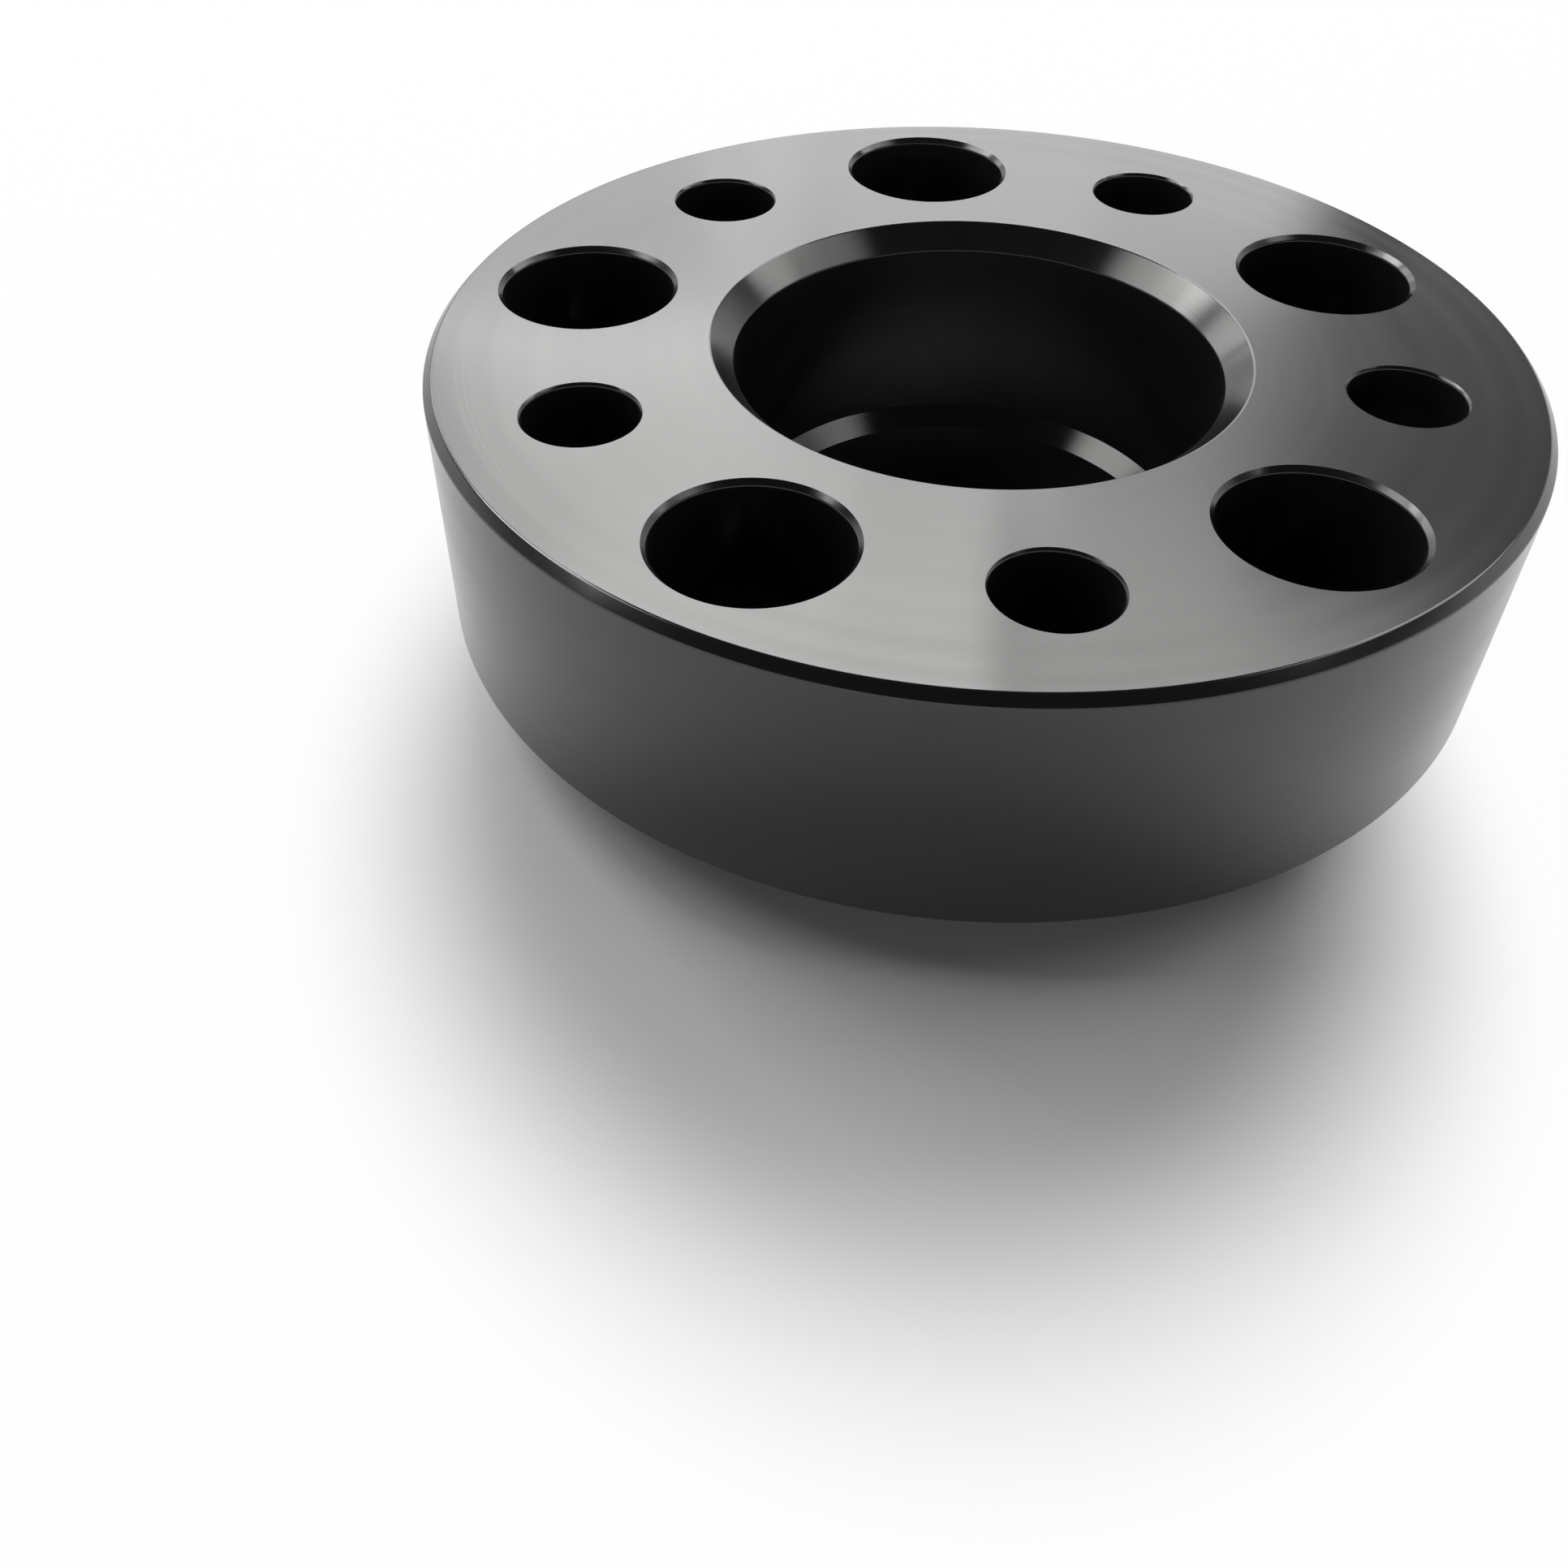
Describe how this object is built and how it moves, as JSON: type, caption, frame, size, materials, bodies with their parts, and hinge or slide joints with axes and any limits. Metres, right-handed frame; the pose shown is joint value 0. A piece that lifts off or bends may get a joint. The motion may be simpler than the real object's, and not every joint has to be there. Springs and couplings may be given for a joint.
{
  "type": "wheel spacer",
  "caption": "Thick hub-centric wheel spacer: a black disc with a stepped centre bore, a centring lip, and pocketed tapped holes and plain seat holes alternating on a bolt circle.",
  "frame": {"origin": "centre of the end of the centring lip, which is the bottom of the part, on the wheel's axis", "axes": "+Z along the wheel's axis from the wheel side to the hub side; +Y through the centre of one pocketed wheel bolt hole; +X completes the frame"},
  "size_m": [0.149, 0.149, 0.045],
  "materials": {
    "anodised_aluminium": "machined, deep black anodised, glossy"
  },
  "bodies": {
    "root": {"spacer_disc": "anodised_aluminium"}
  },
  "joints": []
}
